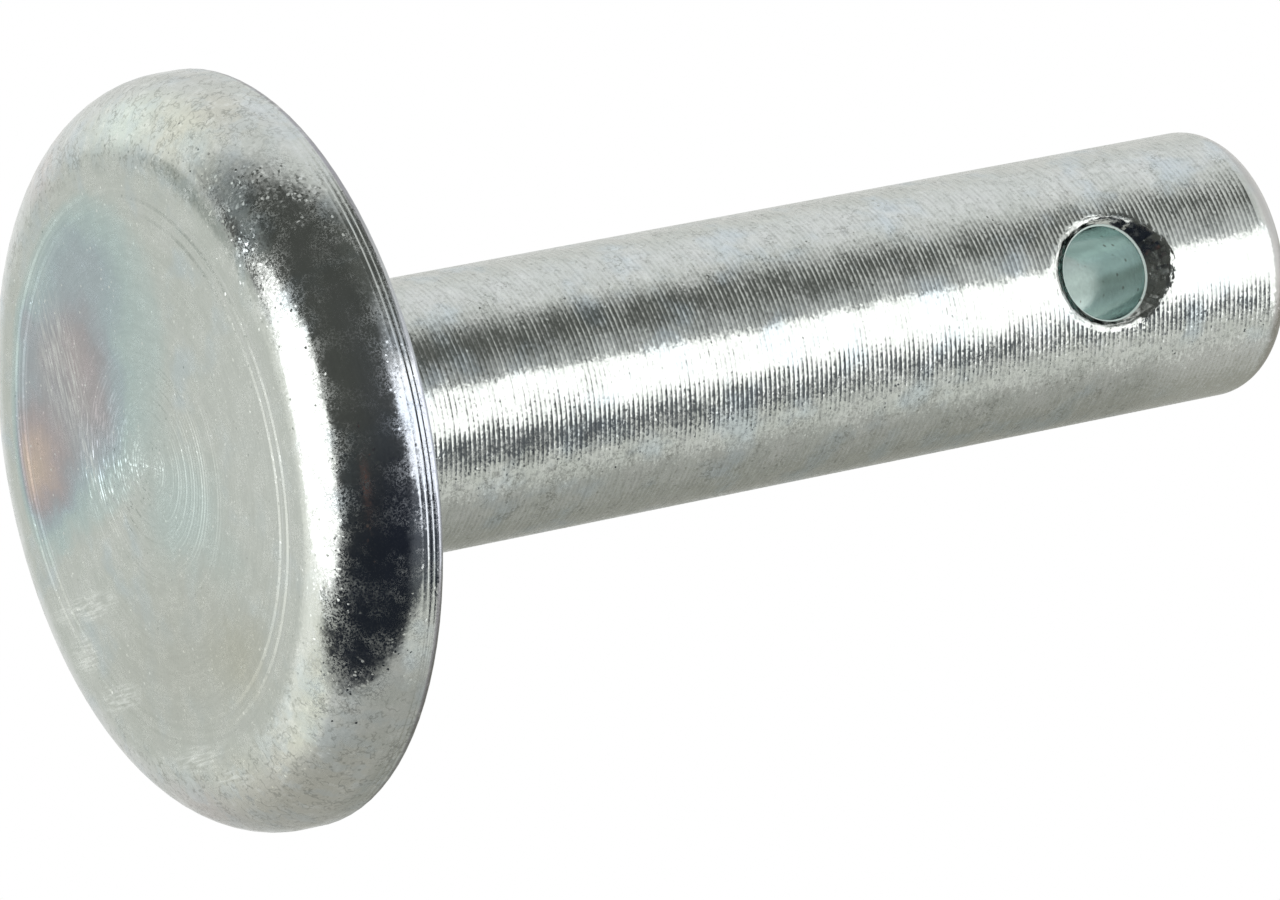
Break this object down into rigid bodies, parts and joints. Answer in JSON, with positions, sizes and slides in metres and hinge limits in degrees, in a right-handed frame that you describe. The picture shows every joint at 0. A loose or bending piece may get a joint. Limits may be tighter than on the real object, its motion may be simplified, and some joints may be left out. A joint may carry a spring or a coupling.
{
  "type": "bearing pin",
  "caption": "Turned steel bearing pin with a wide button head, a plain round shank and a countersunk cross hole near the tip for a split pin.",
  "frame": {"origin": "middle of the head's flat face, which the pin stands on", "axes": "+Z along the shank from the head to the tip; the cross hole lies along Y"},
  "size_m": [0.0272, 0.0272, 0.046],
  "materials": {
    "zinc_plated_steel": "turned steel with bright zinc plating and a clear to blue passivated film"
  },
  "bodies": {
    "root": {"bearing_pin": "zinc_plated_steel"}
  },
  "joints": []
}
